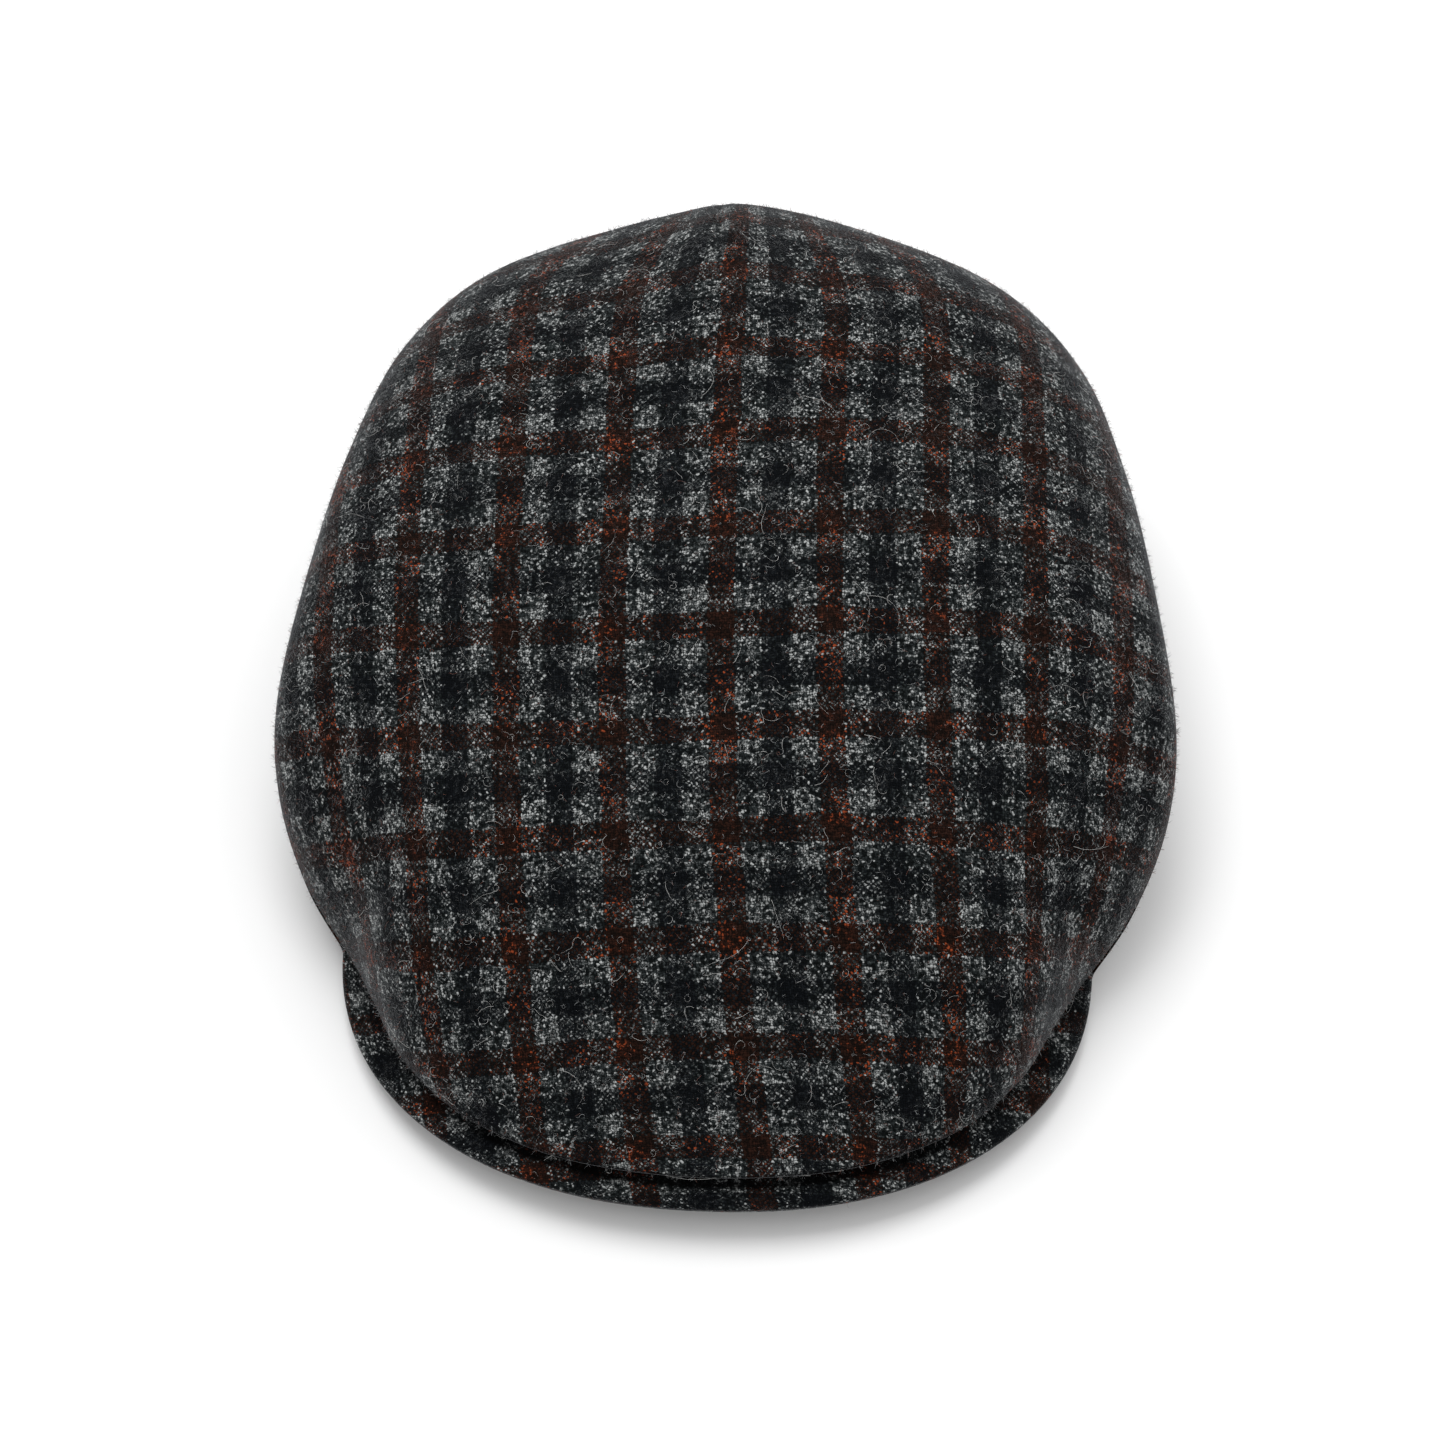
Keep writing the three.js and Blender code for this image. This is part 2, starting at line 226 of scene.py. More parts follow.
float_weft = ((warp + weft_yarn - 0.5) * 0.5).floor() + 0.5
float_end = float_warp + weft_over * (float_weft - float_warp)


def repeat_share(line):
    """Where in the repeat a yarn lies: rust to 0.25, grey to 0.5, navy to 0.75, then grey again."""
    return ((line + 0.5) / repeat_yarns).fraction()


def grey_stripe(share):
    return ((share > 0.25) * (share < 0.5)) + (share > 0.75)


share = repeat_share(on_top)
is_grey = grey_stripe(share)
is_navy = (share > 0.5) * (share < 0.75)
beneath = weft_yarn + weft_over * (warp_yarn - weft_yarn)
grey_beneath = grey_stripe(repeat_share(beneath))

cell = start.node("CombineXYZ", {}, {"X": on_top, "Y": float_end})
chance = cell.node("TexWhiteNoise", {"noise_dimensions": "2D"}, {"Vector": cell}, "Value")
broad = cloth.noise(130, 2)
fine = cloth.noise(720, 2)
curl_field = cloth.noise(620, 1, distortion=1.5)
curl = 1 - (curl_field - 0.5).math("ABSOLUTE", curl_field - 0.5).ramp(0.006, 0.034)
curl = curl * (fine + broad).ramp(0.92, 1.12)

bright = chance * 0.46 + fine * 0.85 + broad * 0.34 - weft_over * 0.05
bright = bright + grey_beneath * 0.085 - 0.165
# The pale flecks are pale fibres in the yarns, kept to the crowns of the yarns and fading towards
# their edges; the lighter crowns are partly a painted highlight. The rust's bright flecks below do
# the same.
pale = bright.ramp(0.76, 1.01) * rise.ramp(0.35, 0.9)
pale = pale.math("MAXIMUM", pale, curl * 0.75)
grey = pale.mix(bright.ramp(0.45, 0.8).mix(grey_dark, grey_middle), grey_pale)
burnt = cloth.noise(95, 3).ramp(0.40, 0.62)
ember = (bright + burnt * 0.16).ramp(0.89, 1.11) * rise.ramp(0.4, 0.95) * (burnt * 0.8 + 0.2)
ember = ember.math("MAXIMUM", ember, curl * burnt * 0.3)
rust = ember.mix(bright.ramp(0.38, 0.86).mix(rust_dark, rust_middle_tone), rust_bright)
navy = bright.ramp(0.55, 1.05).mix(navy_dark, navy_middle)
navy = (curl * 0.12).mix(navy, grey_pale)
dyed = is_navy.mix(is_grey.mix(rust, grey), navy)
# Painted shade: the colour is darkened between the yarns, in the hollows of the weave, and far more
# in the crease under the turned-under front edge, where the recess lies in shadow.
painted_crease_shade = start.node("Attribute", {"attribute_name": "crease_shade"}, {}, "Fac")
painted_shade = (rise.ramp(0.25, 0.95) * 0.7 + 0.3) * (1 - painted_crease_shade * crease_shade_dark)
painted_shade = painted_shade.node("CombineColor", {}, {"Red": painted_shade, "Green": painted_shade, "Blue": painted_shade})
shading = {"data_type": "RGBA", "blend_type": "MULTIPLY"}
shaded = dyed.node("Mix", shading, {0: 1.0, 6: dyed, 7: painted_shade}, 2)
height = rise * 0.8 + curl * 0.6 + fine * 0.5
bump = height.node("Bump", {}, {"Height": height, "Distance": 0.00025, "Strength": 0.7})
fleece = {
    "Base Color": shaded,
    "Roughness": 0.95 - 0.1 * pale,
    "Normal": bump,
    "Specular IOR Level": 0.05,
    "Sheen Weight": 0.32,
    "Sheen Roughness": 0.25,
    "Sheen Tint": (0.86, 0.88, 0.92, 1),
}
give_shader(start, start.node("BsdfPrincipled", {}, fleece))

# The crown's top panel: one piece of tweed from the back seam over the crown down onto the peak.
# Its front edge is folded under, a short dart takes up the cloth at the back, and the rest of its
# edge is sewn to the side panels.
mm = 0.001
half_length = 139 * mm
half_width = 113 * mm
crown_height = 77 * mm
cross_fall = 14 * mm
cloth_thick = 2 * mm
seam_gap = 0.3 * mm
peak_thick = 4 * mm
peak_top = peak_thick + seam_gap
peak_width = 188 * mm
peak_depth = 77 * mm
peak_tip_lift = 7 * mm
peak_root_lift = 15 * mm
peak_wrap = math.radians(64)
peak_corner = 3 * mm
peak_full = 2.2
peak_show = 5.5 * mm
lip_height = 6 * mm
lip_gap = 0.45 * mm
front_share = 0.72
corner_turn = math.radians(82)
hem_inner = (99.9 * mm, 80.9 * mm)
hem_outer = (101.9 * mm, 82.9 * mm)
head_centre = half_length - 17 * mm - hem_outer[0]

lip_rows = (
    (0, 1, 26),
    (0.16, 1, 26),
    (0.31, 1.05, 26),
    (0.45, 1.15, 22),
    (0.57, 1.25, 16),
    (0.67, 0.5, 11),
)
seam_rows = (
    (-0.4, 0.91, 0.155, 8),
    (-0.25, 0.985, 0.3, 6),
    (-0.08, 1.0, 0.42, 5.5),
    (0.18, 0.955, 0.5, 5.5),
    (0.42, 0.892, 0.555, 5.5),
    (0.65, 0.791, 0.59, 6),
    (0.82, 0.61, 0.615, 7),
    (0.94, 0.31, 0.625, 7.5),
    (1.0, 0, 0.63, 8),
)
ridge_rows = (
    (-0.733, 0.415),
    (-0.567, 0.595),
    (-0.375, 0.73),
    (-0.18, 0.835),
    (0.02, 0.92),
    (0.22, 0.962),
    (0.425, 0.985),
    (0.63, 1.0),
    (0.83, 0.985),
    (1.0, 0.955),
)
dents = (
    (0.03, 0.9, 0.2, 0.07, 0.05),
    (-0.37, -0.84, 0.09, 0.1, 0.04),
    (-0.5, 0.7, 0.12, 0.16, 0.03),
    (0.8, -0.34, 0.2, 0.22, 0.03),
)
pole_along = 0.02


def between(one, other, share):
    return one + (other - one) * share


def eased(share):
    share = min(max(share, 0), 1)
    return share * share * (3 - 2 * share)


def smooth_step(one, other, leave, arrive, share):
    rise = between(one, other, eased(share))
    return rise + leave * share * (1 - share) ** 2 + arrive * share * share * (share - 1)


def round_head(ellipse, turn, z=0.0):
    return Vector(
        (ellipse[1] * math.sin(turn), head_centre - ellipse[0] * math.cos(turn), z)
    )


def peak_root(side):
    return round_head(hem_inner, side * peak_wrap, peak_root_lift * (1 - side * side))


def peak_edge(side):
    share = abs(side)
    widest = peak_depth - half_length
    if share < front_share:
        turn = share / front_share * math.pi / 2
        x = peak_width / 2 * math.sin(turn) ** (2 / peak_full)
        y = widest - peak_depth * max(math.cos(turn), 0) ** (2 / peak_full)
        z = peak_tip_lift * math.cos(turn)
    else:
        corner = peak_root(1)
        turn = (share - front_share) / (1 - front_share) * corner_turn
        x = between(corner.x + peak_corner, peak_width / 2, math.cos(turn))
        y = between(widest, corner.y, math.sin(turn))
        z = 0.0
    return Vector((math.copysign(x, side) if side else 0.0, y, z))


def on_peak(side, inset, keep=0.0):
    root, edge = peak_root(side), peak_edge(side)
    width = (root - edge).length
    place = edge.lerp(root, min(inset, width - keep) / width)
    place.z += peak_thick
    return place


def height_at(up):
    return between(peak_top, crown_height, up)


right_edge = []
for side, show, roll in lip_rows:
    place = on_peak(side, show * peak_show)
    under = on_peak(side, show * peak_show + cloth_thick)
    right_edge.append((place.x, place.y, under.z + lip_gap, roll))
for along, out, up, roll in seam_rows:
    right_edge.append((out * half_width, along * half_length, height_at(up), roll))
edge_rows = right_edge + [(-x, y, z, roll) for x, y, z, roll in right_edge[-2:0:-1]]


def edge_at(share):
    """The panel's edge at a share of the way round: x, y, z and how tightly the top rolls over."""
    count = len(edge_rows)
    at = share % 1 * count
    i = int(at)
    a, b, c, d = (edge_rows[(i + k) % count] for k in (-1, 0, 1, 2))
    found = []
    for n in range(4):
        steps = (b[n] - a[n], c[n] - b[n], d[n] - c[n])
        slopes = []
        for before, after in zip(steps, steps[1:]):
            if n < 2:
                slopes.append((before + after) / 2)
            elif before * after > 0:
                slopes.append(2 * before * after / (before + after))
            else:
                slopes.append(0)
        found.append(smooth_step(b[n], c[n], slopes[0], slopes[1], at - i))
    return found


lip_top = on_peak(0, peak_show).z + lip_height
centre_line = [(peak_show / half_length - 1, lip_top)]
centre_line += [(along, height_at(up)) for along, up in ridge_rows]


def centre_height(along):
    last = len(centre_line) - 1
    i = max([n for n in range(last) if centre_line[n][0] <= along], default=0)

    def slope(n):
        one, other = centre_line[max(n - 1, 0)], centre_line[min(n + 1, last)]
        return (other[1] - one[1]) / (other[0] - one[0])

    one, other = centre_line[i], centre_line[i + 1]
    span = other[0] - one[0]
    share = min(max((along - one[0]) / span, 0), 1)
    return smooth_step(one[1], other[1], slope(i) * span, slope(i + 1) * span, share)


dart_x = -7 * mm
dart_front = 100 * mm
dart_soft = 16 * mm
dart_back = 124 * mm
groove_deep = 1.9 * mm
groove_wide = 1.2 * mm
ridge_tall = 2.0 * mm
ridge_wide = 9 * mm
# The cloth's soft unevenness: how many waves to a metre, how high, and which part of the noise.
unevenness = ((28, 1.4 * mm, 3.1), (95, 0.4 * mm, 7.7))


def sheet_height(x, y):
    """The height of the top panel's outer face before it rolls over to its edge."""
    across, along = x / half_width, y / half_length
    z = centre_height(along) - cross_fall * across**2
    for dent_along, dent_across, long, wide, deep in dents:
        far = ((along - dent_along) / long) ** 2 + ((across - dent_across) / wide) ** 2
        z -= deep * crown_height * math.exp(-far)
    for waves, tall, part in unevenness:
        z += tall * noise.noise(Vector((x * waves, y * waves, part)))
    dart = eased((y - dart_front) / dart_soft)
    groove = dart * (1 - eased((y - dart_back) / dart_soft))
    z -= groove_deep * groove * math.exp(-(((x - dart_x) / groove_wide) ** 2))
    z += ridge_tall * dart * math.exp(-(((x - dart_x) / ridge_wide) ** 2))
    return z


# How the cloth lies on the panel, across and along: each row holds a power of x, a power of y and
# the millimetres of cloth that they add, where x and y are in tenths of a metre.
grain_u = (
    (0, 0, 1.7),
    (0, 1, 3.2),
    (0, 2, -3.9),
    (0, 3, 1.5),
    (1, 0, 101.1),
    (1, 1, 1.0),
    (1, 2, -2.3),
    (2, 0, 0.5),
    (2, 1, 2.0),
    (3, 1, -9.6),
    (3, 2, 8.6),
)
grain_v = (
    (0, 0, 8.2),
    (0, 1, 98.9),
    (0, 2, -5.1),
    (0, 3, 3.9),
    (1, 0, -8.5),
    (1, 1, -2.5),
    (1, 2, -1.1),
    (2, 0, -4.3),
    (2, 1, 1.7),
    (2, 2, 9.8),
    (3, 0, 6.4),
    (3, 1, 4.1),
)
repeat = repeat_yarns * yarn
rust_middle = repeat / 8
whole_repeats = 20 * repeat
# The dart takes up cloth beside it, and the cloth fans out towards the back seam.
dart_takes = 4.4 * mm
dart_reach = 30 * mm
dart_takes_from = 50 * mm
dart_takes_over = 40 * mm
fan_from = 85 * mm
fan_over = 33 * mm
fan_half = 60 * mm
fan_share = 0.4


def grain(x, y):
    place = (x * 10, y * 10)
    u = sum(k * place[0] ** a * place[1] ** b for a, b, k in grain_u) * mm
    v = sum(k * place[0] ** a * place[1] ** b for a, b, k in grain_v) * mm
    taken = eased((y - dart_takes_from) / dart_takes_over)
    v += dart_takes * eased(abs(x - dart_x) / dart_reach) * taken
    fan = (max(y - fan_from, 0) / fan_over) ** 2 * math.exp(-((x / fan_half) ** 2))
    u += fan_share * x * fan
    return u + rust_middle + whole_repeats, v + rust_middle + whole_repeats


def cloth_mesh(name, corners, faces, grains, crease_shades=None):
    """A mesh with its grain in the UV map "cloth", in metres of yarn, and the painted shade of its
    creases in a point attribute.
    """
    mesh = bpy.data.meshes.new(name)
    mesh.from_pydata([tuple(c) for c in corners], [], faces)
    lines = mesh.uv_layers.new(name="cloth")
    for loop in mesh.loops:
        lines.data[loop.index].uv = grains[loop.vertex_index]
    layer = mesh.attributes.new("crease_shade", "FLOAT", "POINT")
    layer.data.foreach_set("value", crease_shades or [0.0] * len(corners))
    piece = bpy.data.objects.new(name, mesh)
    bpy.context.collection.objects.link(piece)
    return piece


def dress(piece, material):
    """Smooths a sewn piece and gives it its cloth."""
    bpy.ops.object.select_all(action="DESELECT")
    piece.select_set(True)
    bpy.context.view_layer.objects.active = piece
    bpy.ops.object.shade_smooth()
    piece.data.materials.append(material)


def close_rings(rings, wraps=True):
    """Quads between rings of the same count, one ring after another."""
    count = len(rings[0])
    faces = []
    for one, other in zip(rings, rings[1:]):
        for j in range(count if wraps else count - 1):
            k = (j + 1) % count
            faces.append((one[j], other[j], other[k], one[k]))
    return faces


top_spokes = 336
outer_rings = 72
inner_rings = 16
ring_crowding = 2.6
back_crowding = 0.8
rim_turns = (0.15, 0.35, 0.5, 0.65, 0.85)
lip_thick = 3.4 * mm
lip_ends = (5.2 / len(edge_rows), 6.6 / len(edge_rows))
fold_at = 3.3 / len(edge_rows)
fold_wide = 1.0 / len(edge_rows)
fold_lift = 1.6 * mm
lip_lift = 1.3 * mm
# How far up the front edge's roll the painted crease shade reaches.
crease_shade_reach = 0.34
crease_ends = (48 * mm, 18 * mm)
crease_falls = 0.75


def crease(x):
    """How far the turned-under edge stands off the peak, and how strong the painted shade in the
    crease under it is: both fall away towards the peak's corners.
    """
    return 1 - crease_falls * eased((abs(x) - crease_ends[0]) / crease_ends[1])


def edge_line(share):
    """The edge at a share of the way round, the way in from it, and its thickness there."""
    x, y, z, roll = edge_at(share)
    before, after = edge_at(share - 0.001), edge_at(share + 0.001)
    run = Vector((after[0] - before[0], after[1] - before[1])).normalized()
    from_front = min(share % 1, 1 - share % 1)
    lip = 1 - eased((from_front - lip_ends[0]) / (lip_ends[1] - lip_ends[0]))
    thick = between(cloth_thick, lip_thick, lip)
    tuck = math.exp(-(((from_front - fold_at) / fold_wide) ** 2))
    z += lip_lift * lip * crease(x) + fold_lift * tuck
    return x, y, z, roll, -run.y, run.x, thick, lip


edges = []
for spoke in range(top_spokes):
    turn = spoke / top_spokes
    edges.append(edge_line(turn + back_crowding / (2 * math.pi) * math.sin(2 * math.pi * turn)))


def top_place(spoke, ring, inset):
    """A point of the top panel, its grain and the painted shade of the crease there. inset: 0 outer
    face, 1 inner face.
    """
    x, y, z, roll, in_x, in_y, thick, lip = edges[spoke]
    deep = inset * between(cloth_thick, thick, ring**8)
    x = (x + deep * in_x) * ring
    y = between(pole_along * half_length, y + deep * in_y, ring)
    sheet = sheet_height(x, y) - inset * cloth_thick
    rolled = math.sqrt(max(1 - ring**roll, 0))
    low = z + thick / 2 * (1 - 2 * math.sqrt(max(inset - inset * inset, 0)))
    place = Vector((x, y, between(low, sheet, rolled)))
    fall = sheet - place.z
    out = Vector((x, y - pole_along * half_length, 0)).normalized()
    u, v = grain(x, y)
    # Painted shade in the crease under the front edge: darkest at the foot of the roll, gone
    # partway up it, and only on the outermost rings.
    crease_shade = lip * crease(x) * (1 - eased(rolled / crease_shade_reach)) if ring > 0.9 else 0.0
    return place, (u + out.x * fall, v + out.y * fall), crease_shade


corners, grains, crease_shades, rings = [], [], [], []


def add_corner(place, lines, crease_shade=0.0):
    corners.append(place)
    grains.append(lines)
    crease_shades.append(crease_shade)
    return len(corners) - 1


pole = add_corner(*top_place(0, 0, 0))
for n in range(outer_rings):
    ring = 1 - (1 - (n + 1) / outer_rings) ** ring_crowding
    rings.append([add_corner(*top_place(j, ring, 0)) for j in range(top_spokes)])
for inset in rim_turns:
    rings.append([add_corner(*top_place(j, 1, inset)) for j in range(top_spokes)])
for n in range(inner_rings):
    ring = 1 - (n / inner_rings) ** 1.5
    rings.append([add_corner(*top_place(j, ring, 1)) for j in range(top_spokes)])
inner_pole = add_corner(*top_place(0, 0, 1))
faces = close_rings(rings)
for j in range(top_spokes):
    k = (j + 1) % top_spokes
    faces.append((pole, rings[0][j], rings[0][k]))
    faces.append((inner_pole, rings[-1][k], rings[-1][j]))
crown_top = cloth_mesh("crown_top_cloth", corners, faces, grains, crease_shades)
dress(crown_top, tweed)

# The loose fibres of the wool: curls that lie on the cloth, and a short nap that stands up from it.
fibre_wool, start = new_material("fibre_wool")
tint = start.node("Attribute", {"attribute_name": "tint"}, {}, "Color")
place = start.node("TexCoord", {}, {}, "Object")
patchy = place.noise(900, dimensions="3D").ramp(0.3, 0.7)
white_wool = (0.66, 0.66, 0.64, 1)
pale_wool = (0.42, 0.44, 0.45, 1)
grey_wool = (0.15, 0.16, 0.165, 1)
dark_wool = (0.03, 0.032, 0.035, 1)
burnt_wool = (0.20, 0.045, 0.018, 1)
patch_dark = (0.05, 0.05, 0.05, 1)
fibre_above_floor = 0.3 * mm
tint = (patchy * 0.5).mix(tint, patch_dark)
wool = {"Base Color": tint, "Roughness": 0.6 + patchy * 0.2, "Sheen Weight": 0.2}
give_shader(start, start.node("BsdfPrincipled", {}, wool))


def fibres(name, cloth, first_faces, count, kind, seed):
    """Curls, nap or hairs on the first faces of a cloth: one mesh of thin three-sided threads."""
    chance = random.Random(seed)
    faces = cloth.data.polygons[:first_faces]
    areas = [face.area * (1.25 - abs(face.normal.z) if kind == "nap" else 1) for face in faces]
    ends, threads, tints = [], [], []
    for face in chance.choices(faces, areas, k=count):
        up = face.normal.copy()
        place = face.center.copy()
        heading = up.orthogonal().normalized()
        heading.rotate(Matrix.Rotation(chance.uniform(0, 2 * math.pi), 3, up))
        if kind == "curl":
            steps = 7
            step = chance.choice((0.2, 0.24, 0.3, 0.38, 0.65)) * mm
            bend = chance.uniform(-1.0, 1.0)
            high = chance.uniform(0.1, 0.4)
            radius = chance.uniform(0.032, 0.058) * mm
            tint = pale_wool if chance.random() < 0.88 else burnt_wool
            tint = white_wool if step > 0.5 * mm else tint
        elif kind == "hair":
            steps = chance.randint(12, 26)
            step = 0.55 * mm
            bend = chance.uniform(-0.16, 0.16)
            high = 0.16
            radius = 0.045 * mm
            tint = white_wool
        else:
            steps = 2
            step = chance.uniform(0.3, 0.8) * mm
            bend = chance.uniform(-0.8, 0.8)
            high = chance.uniform(0.5, 1.8)
            radius = chance.uniform(0.035, 0.065) * mm
            tint = chance.choice((pale_wool, grey_wool, grey_wool, dark_wool, burnt_wool))
        line = []
        for s in range(steps + 1):
            line.append(place.copy())
            rise = high if kind == "nap" else high * (1 - 2 * s / steps)
            place = place + (heading + up * rise).normalized() * step
            turn = bend + chance.uniform(-0.35, 0.35) * (0.5 if kind == "hair" else 1)
            heading.rotate(Matrix.Rotation(turn, 3, up))
        if min(point.z for point in line) < fibre_above_floor:
            continue
        for s, point in enumerate(line):
            along = (line[min(s + 1, steps)] - line[max(s - 1, 0)]).normalized()
            side = along.orthogonal().normalized()
            thin = radius * (1 - 0.6 * s / steps)
            for k in range(3):
                out = side.copy()
                out.rotate(Matrix.Rotation(2 * math.pi * k / 3, 3, along))
                ends.append(point + out * thin)
                tints.append(tint)
            if s:
                a = len(ends) - 6
                for k in range(3):
                    m = (k + 1) % 3
                    threads.append((a + k, a + m, a + 3 + m, a + 3 + k))
        threads.append((len(ends) - 3, len(ends) - 2, len(ends) - 1))
        first = len(ends) - 3 * (steps + 1)
        threads.append((first + 2, first + 1, first))
    mesh = bpy.data.meshes.new(name)
    mesh.from_pydata([tuple(end) for end in ends], [], threads)
    layer = mesh.attributes.new("tint", "FLOAT_COLOR", "POINT")
    layer.data.foreach_set("color", [value for tint in tints for value in tint])
    piece = bpy.data.objects.new(name, mesh)
    bpy.context.collection.objects.link(piece)
    dress(piece, fibre_wool)
    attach(piece, "root")
    return piece


crown_faces = outer_rings * top_spokes
crown_fibres = [
    fibres("crown_top_curls", crown_top, crown_faces, 3300, "curl", 4),
    fibres("crown_top_nap", crown_top, crown_faces, 13500, "nap", 8),
    fibres("crown_top_hairs", crown_top, crown_faces, 30, "hair", 12),
]
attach(crown_top, "root")
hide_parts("crown_top")

# The two side panels: tweed too, cut on the same grain. Each is sewn to the top panel round the
# fullest part of the crown and to the other at the back, and its foot is turned in over the
# sweatband.
side_start = 18 / 96
side_columns = 110
side_rows = 26
belly = 1.7
foot_inset = 5.5 * mm
hem_height = 6 * mm
foot_steps = 24
rim_step = math.radians(1)
rim_ramp = math.radians(11)
peak_lines = 120
ripple_waves = 40
ripple_tall = 1.1 * mm
ripple_part = 9
side_cut = (11 * repeat, 30 * repeat)
side_cut_down = 4 * mm


def rim_lift(turn):
    start = peak_wrap + rim_step
    return peak_top * (1 - eased((turn - start) / rim_ramp))


def peak_top_at(place):
    """The height of the peak's upper face over a place, from the nearest of the lines across it."""
    nearest, found = None, 0.0
    flat = Vector((abs(place.x), place.y))
    for n in range(peak_lines + 1):
        root, edge = peak_root(n / peak_lines), peak_edge(n / peak_lines)
        line = root.xy - edge.xy
        share = min(max((flat - edge.xy).dot(line) / line.length_squared, 0), 1)
        far = (edge.xy + line * share - flat).length
        if nearest is None or far <= nearest:
            nearest, found = far, between(edge.z, root.z, share) + peak_thick
    return found


def foot_line(inset):
    """The line that a side panel stands on, with the distance along it."""
    x, y, _, _, in_x, in_y, _, _ = edge_line(side_start)
    places = [Vector((x + inset * in_x, y + inset * in_y, 0))]
    for n in range(1, foot_steps):
        side = between(front_share, 1, n / foot_steps)
        places.append(on_peak(side, foot_inset + inset, cloth_thick - inset))
    for place in places:
        place.z = peak_top_at(place) + seam_gap
    for n in range(2 * foot_steps + 1):
        turn = between(peak_wrap + rim_step, math.pi, n / (2 * foot_steps))
        ellipse = (hem_outer[0] - inset, hem_outer[1] - inset)
        places.append(round_head(ellipse, turn, rim_lift(turn)))
    run = [0.0]
    for one, other in zip(places, places[1:]):
        run.append(run[-1] + (other - one).length)
    return places, run


def along_line(line, share):
    places, run = line
    at = share * run[-1]
    i = max(n for n in range(len(run) - 1) if run[n] <= at + 1e-12)
    span = run[i + 1] - run[i]
    return places[i].lerp(places[i + 1], min((at - run[i]) / span, 1))


def side_panel(name, mirror):
    corners.clear()
    grains.clear()
    crease_shades.clear()
    outer, inner = [], []
    for inset, face in ((0, outer), (cloth_thick, inner)):
        line = foot_line(inset)
        run = 0.0
        last = None
        for j in range(side_columns + 1):
            share = between(side_start, 0.5, j / side_columns)
            x, y, z, _, in_x, in_y, _, _ = edge_line(share)
            top = Vector((x + inset * in_x, y + inset * in_y, z))
            low = along_line(line, j / side_columns)
            low.z = max(low.z, 0)
            tall = top.z - seam_gap - low.z
            hem = min(hem_height, tall / 3)
            run += (top - last).length if last else 0
            last = top
            column = []
            down_run = 0.0
            for i in range(side_rows + 1):
                down = min(i / (side_rows - 1), 1)
                inward = down**belly
                place = Vector((between(top.x, low.x, inward), between(top.y, low.y, inward), 0))
                place.z = low.z if i == side_rows else between(top.z - seam_gap, low.z + hem, down)
                waves = [size * ripple_waves for size in place]
                ripple = noise.noise(Vector((waves[0], waves[1], waves[2] + ripple_part)))
                inside = math.sin(math.pi * min(i / side_rows, 1))
                out = Vector((place.x, place.y - head_centre, 0)).normalized()
                place += out * (ripple_tall * ripple * inside)
                place.x = max(place.x, seam_gap / 2)
                down_run += (place - column[-1][0]).length if column else 0
                column.append((place, down_run))
            face.append([(p, (run, d)) for p, d in column])
    rings = []
    for face in (outer, inner):
        order = range(side_rows + 1) if face is outer else range(side_rows, -1, -1)
        for i in order:
            ring = []
            for j in range(side_columns + 1):
                place, (u, v) = face[j][i]
                if mirror:
                    place = Vector((-place.x, place.y, place.z))
                lines = (u + side_cut[0], side_cut[1] - v + side_cut_down)
                ring.append(add_corner(place, lines))
            rings.append(ring)
    rings.append(rings[0])
    faces = close_rings(rings, False)
    starts = [ring[0] for ring in rings[:-1]]
    ends = [ring[-1] for ring in rings[:-1]]
    for i in range(side_rows):
        for line, turned in ((starts, True), (ends, False)):
            a, b = line[i], line[i + 1]
            d, c = line[2 * side_rows + 1 - i], line[2 * side_rows - i]
            faces.append((a, d, c, b) if turned else (a, b, c, d))
    if mirror:
        faces = [face[::-1] for face in faces]
    piece = cloth_mesh(name, corners, faces, grains)
    dress(piece, tweed)
    return piece


for name, node, mirror, seed in (
    ("crown_side_right_cloth", "crown_side_right", False, 5),
    ("crown_side_left_cloth", "crown_side_left", True, 6),
):
    panel = side_panel(name, mirror)
    panel_faces = side_rows * side_columns
    panel_fibres = [
        fibres(node + "_curls", panel, panel_faces, 600, "curl", seed),
        fibres(node + "_nap", panel, panel_faces, 3000, "nap", seed + 10),
    ]
    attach(panel, "root")
    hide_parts(node)

# The peak: a stiff board covered with tweed above and below, curved round the forehead. Its edge is
# rounded, with the cover's two layers sewn together there.
peak_columns = 120
peak_rows = 9
corners.clear()
grains.clear()
crease_shades.clear()
upper, under = [], []
edge_round = 1.9 * mm
edge_round_most = 0.4
fold_inset_most = 0.7
edge_turns = (30, 60, 84)
edge_takes = 2 * mm
upper_cut = 0.5 * mm
under_cut = (9 * mm, 31 * mm)
# How far in from its edge the fold lies, over the peak's half.
fold_insets = [(side, show * peak_show) for side, show, _ in lip_rows]
fold_insets += [(0.76, foot_inset), (1, foot_inset)]
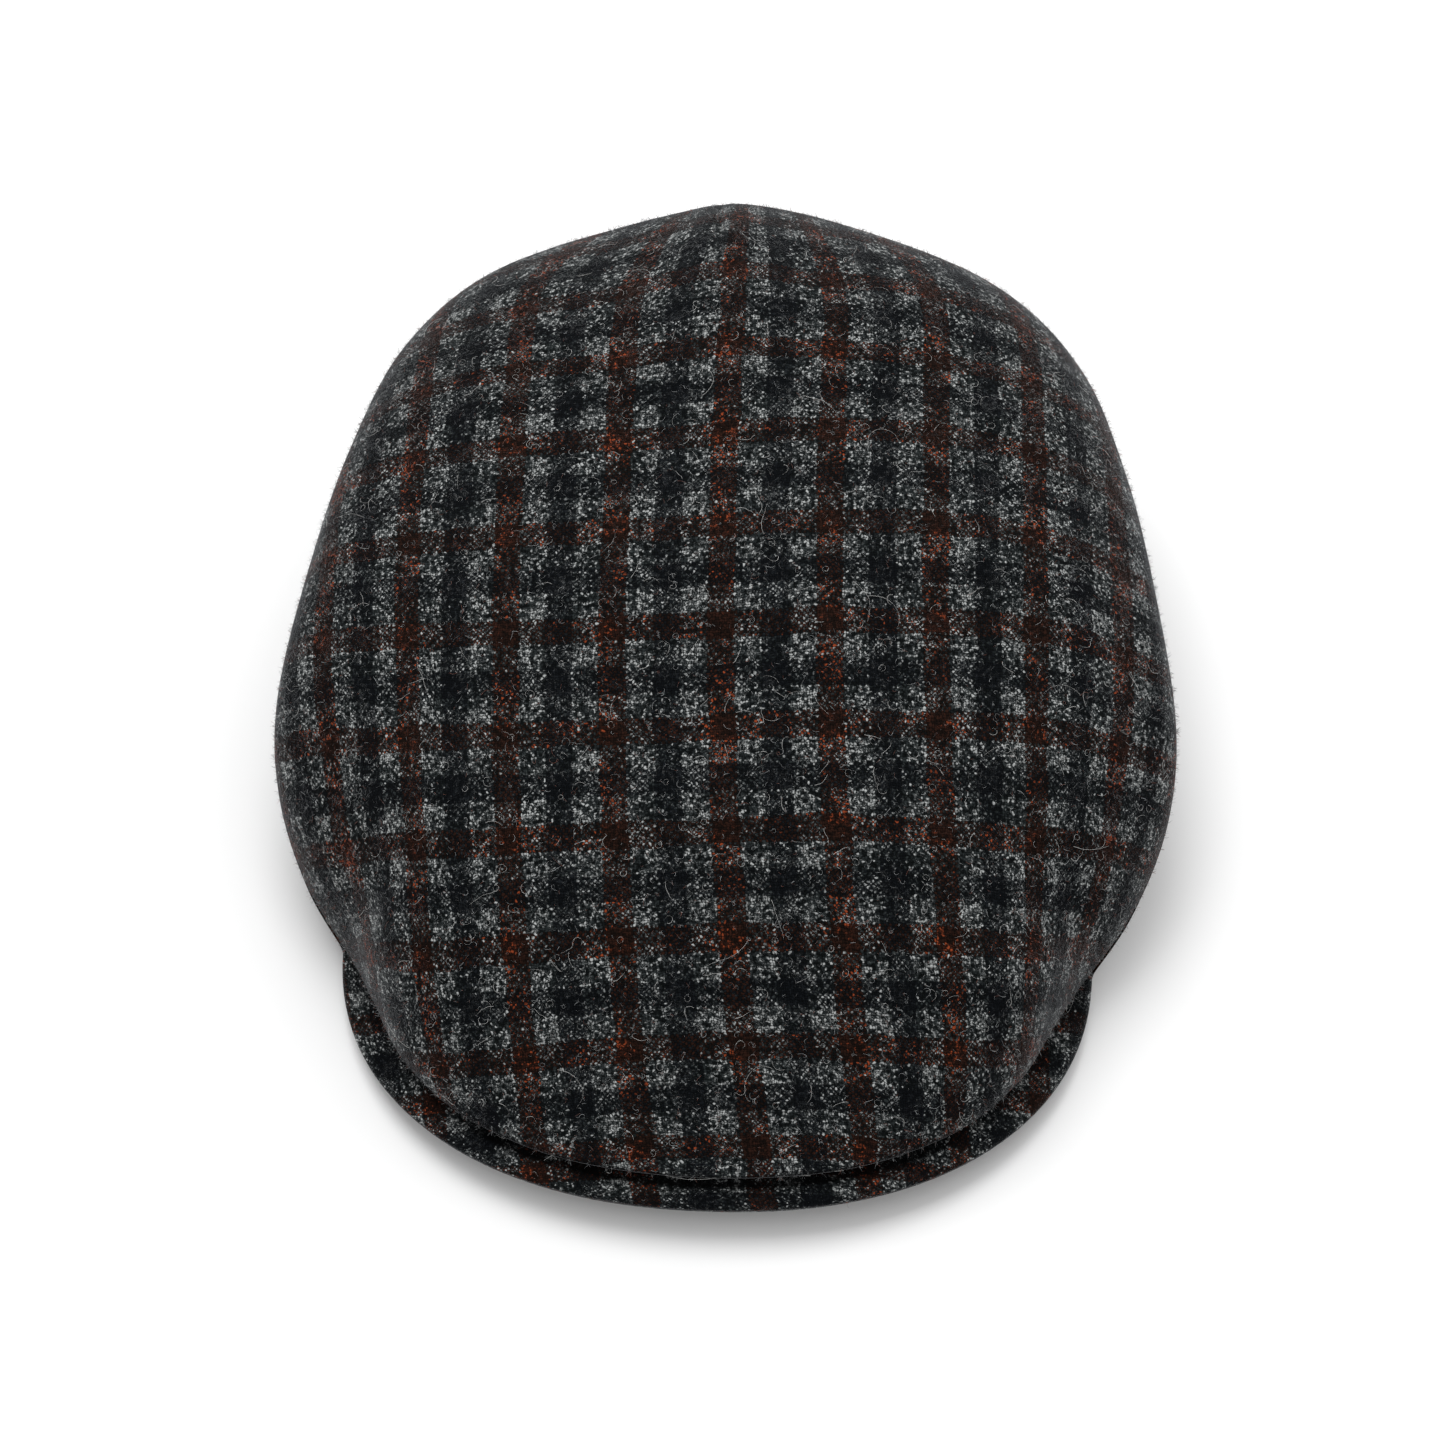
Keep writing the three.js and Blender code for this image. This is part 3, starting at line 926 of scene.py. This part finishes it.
# Shares of the way out from the fold to the rounding, each with how dark the painted shade in the
# crease is there.
crease_shade_fades = ((0.04, 1.0), (0.11, 0.9), (0.2, 0.55), (0.34, 0.15), (0.6, 0.0), (1.0, 0.0))
for j in range(peak_columns + 1):
    side = between(-1, 1, j / peak_columns)
    root, edge = peak_root(side), peak_edge(side)
    width = (edge - root).length
    bend = min(edge_round, edge_round_most * width)
    n = max(n for n in range(len(fold_insets) - 1) if fold_insets[n][0] <= abs(side))
    (one, near), (other, far) = fold_insets[n : n + 2]
    fold_inset = between(near, far, (abs(side) - one) / (other - one))
    fold_inset = min(fold_inset, fold_inset_most * width)
    section = []
    for i in range(peak_rows):
        share = i / peak_rows * (1 - fold_inset / width)
        section.append((root.lerp(edge, share), 1.0, 0.0))
    for share, crease_shade in crease_shade_fades:
        share = 1 - between(fold_inset, bend, share) / width
        section.append((root.lerp(edge, share), 1.0, crease_shade))
    for turn in edge_turns:
        angle = math.radians(turn)
        share = 1 - bend / width * (1 - math.sin(angle))
        section.append((root.lerp(edge, share), math.cos(angle), 0.0))
    column_up, column_low = [], []
    for place, full, crease_shade in section:
        middle = place + Vector((0, 0, peak_thick / 2))
        rise = Vector((0, 0, peak_thick / 2 * full))
        u, v = grain(middle.x, middle.y)
        tuck = (1 - full) * edge_takes
        # The painted crease shade on the peak fades towards its corners, as the edge above it lies
        # down.
        crease_shade *= crease(middle.x)
        column_up.append(add_corner(middle + rise, (u + upper_cut, v - tuck), crease_shade))
        lines = (u + under_cut[0], v + under_cut[1] + tuck)
        column_low.append(add_corner(middle - rise, lines))
    upper.append(column_up)
    under.append(column_low)
loops = [up[::-1] + low for up, low in zip(upper, under)]
faces = []
for one, other in zip(loops, loops[1:]):
    for n in range(len(one)):
        m = (n + 1) % len(one)
        faces.append((one[n], one[m], other[m], other[n]))
faces.append(tuple(loops[0][::-1]))
faces.append(tuple(loops[-1]))
peak = cloth_mesh("peak_cover", corners, faces, grains, crease_shades)
dress(peak, tweed)
fibres("peak_curls", peak, len(peak.data.polygons), 600, "curl", 7)
fibres("peak_nap", peak, len(peak.data.polygons), 4000, "nap", 17)
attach(peak, "root")
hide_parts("peak")

# The sweatband: a plain dark twill band sewn round the inside of the rim.
band_inner = (98 * mm, 79 * mm)
band_thick = 1.6 * mm
band_lift = 1 * mm
band_columns = 144
band_tall = (17, 25)
band_radius = 88.5 * mm
corners.clear()
grains.clear()
crease_shades.clear()
up_shares = (0.0, 0.08, 0.5, 0.92, 1.0)
profile = [(0, up) for up in up_shares] + [(1, up) for up in reversed(up_shares)]
rings = []
for out, up in profile:
    ring = []
    for j in range(band_columns):
        turn = 2 * math.pi * j / band_columns
        from_front = min(turn, 2 * math.pi - turn)
        side = min(from_front / peak_wrap, 1)
        foot = band_lift + max(peak_root_lift * (1 - side * side), rim_lift(from_front))
        tall = between(*band_tall, eased(from_front / (math.pi / 2))) * mm
        ellipse = tuple(size + out * band_thick for size in band_inner)
        place = round_head(ellipse, turn, foot + tall * up)
        ring.append(add_corner(place, (turn * band_radius, up * tall)))
    rings.append(ring)
rings.append(rings[0])
faces = close_rings(rings)

twill_dark = (0.0085, 0.0082, 0.0090, 1)
twill_light = (0.022, 0.021, 0.023, 1)
thread = 0.0005
band_cloth, start = new_material("band_cloth")
cloth = start.node("UVMap", {"uv_map": "cloth"}, {})
across = cloth.node("SeparateXYZ", {}, {"Vector": cloth}, "X")
along = cloth.node("SeparateXYZ", {}, {"Vector": cloth}, "Y")
rib = ((across + along) / thread).fraction() * 2 - 1
rib = 1 - rib * rib
wear = cloth.noise(220, 3)
tint = (rib * 0.6 + wear * 0.5).ramp(0.1, 1.0).mix(twill_dark, twill_light)
bump = rib.node("Bump", {}, {"Height": rib + wear, "Distance": 0.0001, "Strength": 0.6})
twill = {"Base Color": tint, "Roughness": 0.7 + wear * 0.2, "Normal": bump, "Sheen Weight": 0.1}
give_shader(start, start.node("BsdfPrincipled", {}, twill))
band = cloth_mesh("sweatband_cloth", corners, faces, grains)
dress(band, band_cloth)
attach(band, "root")
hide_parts("sweatband")
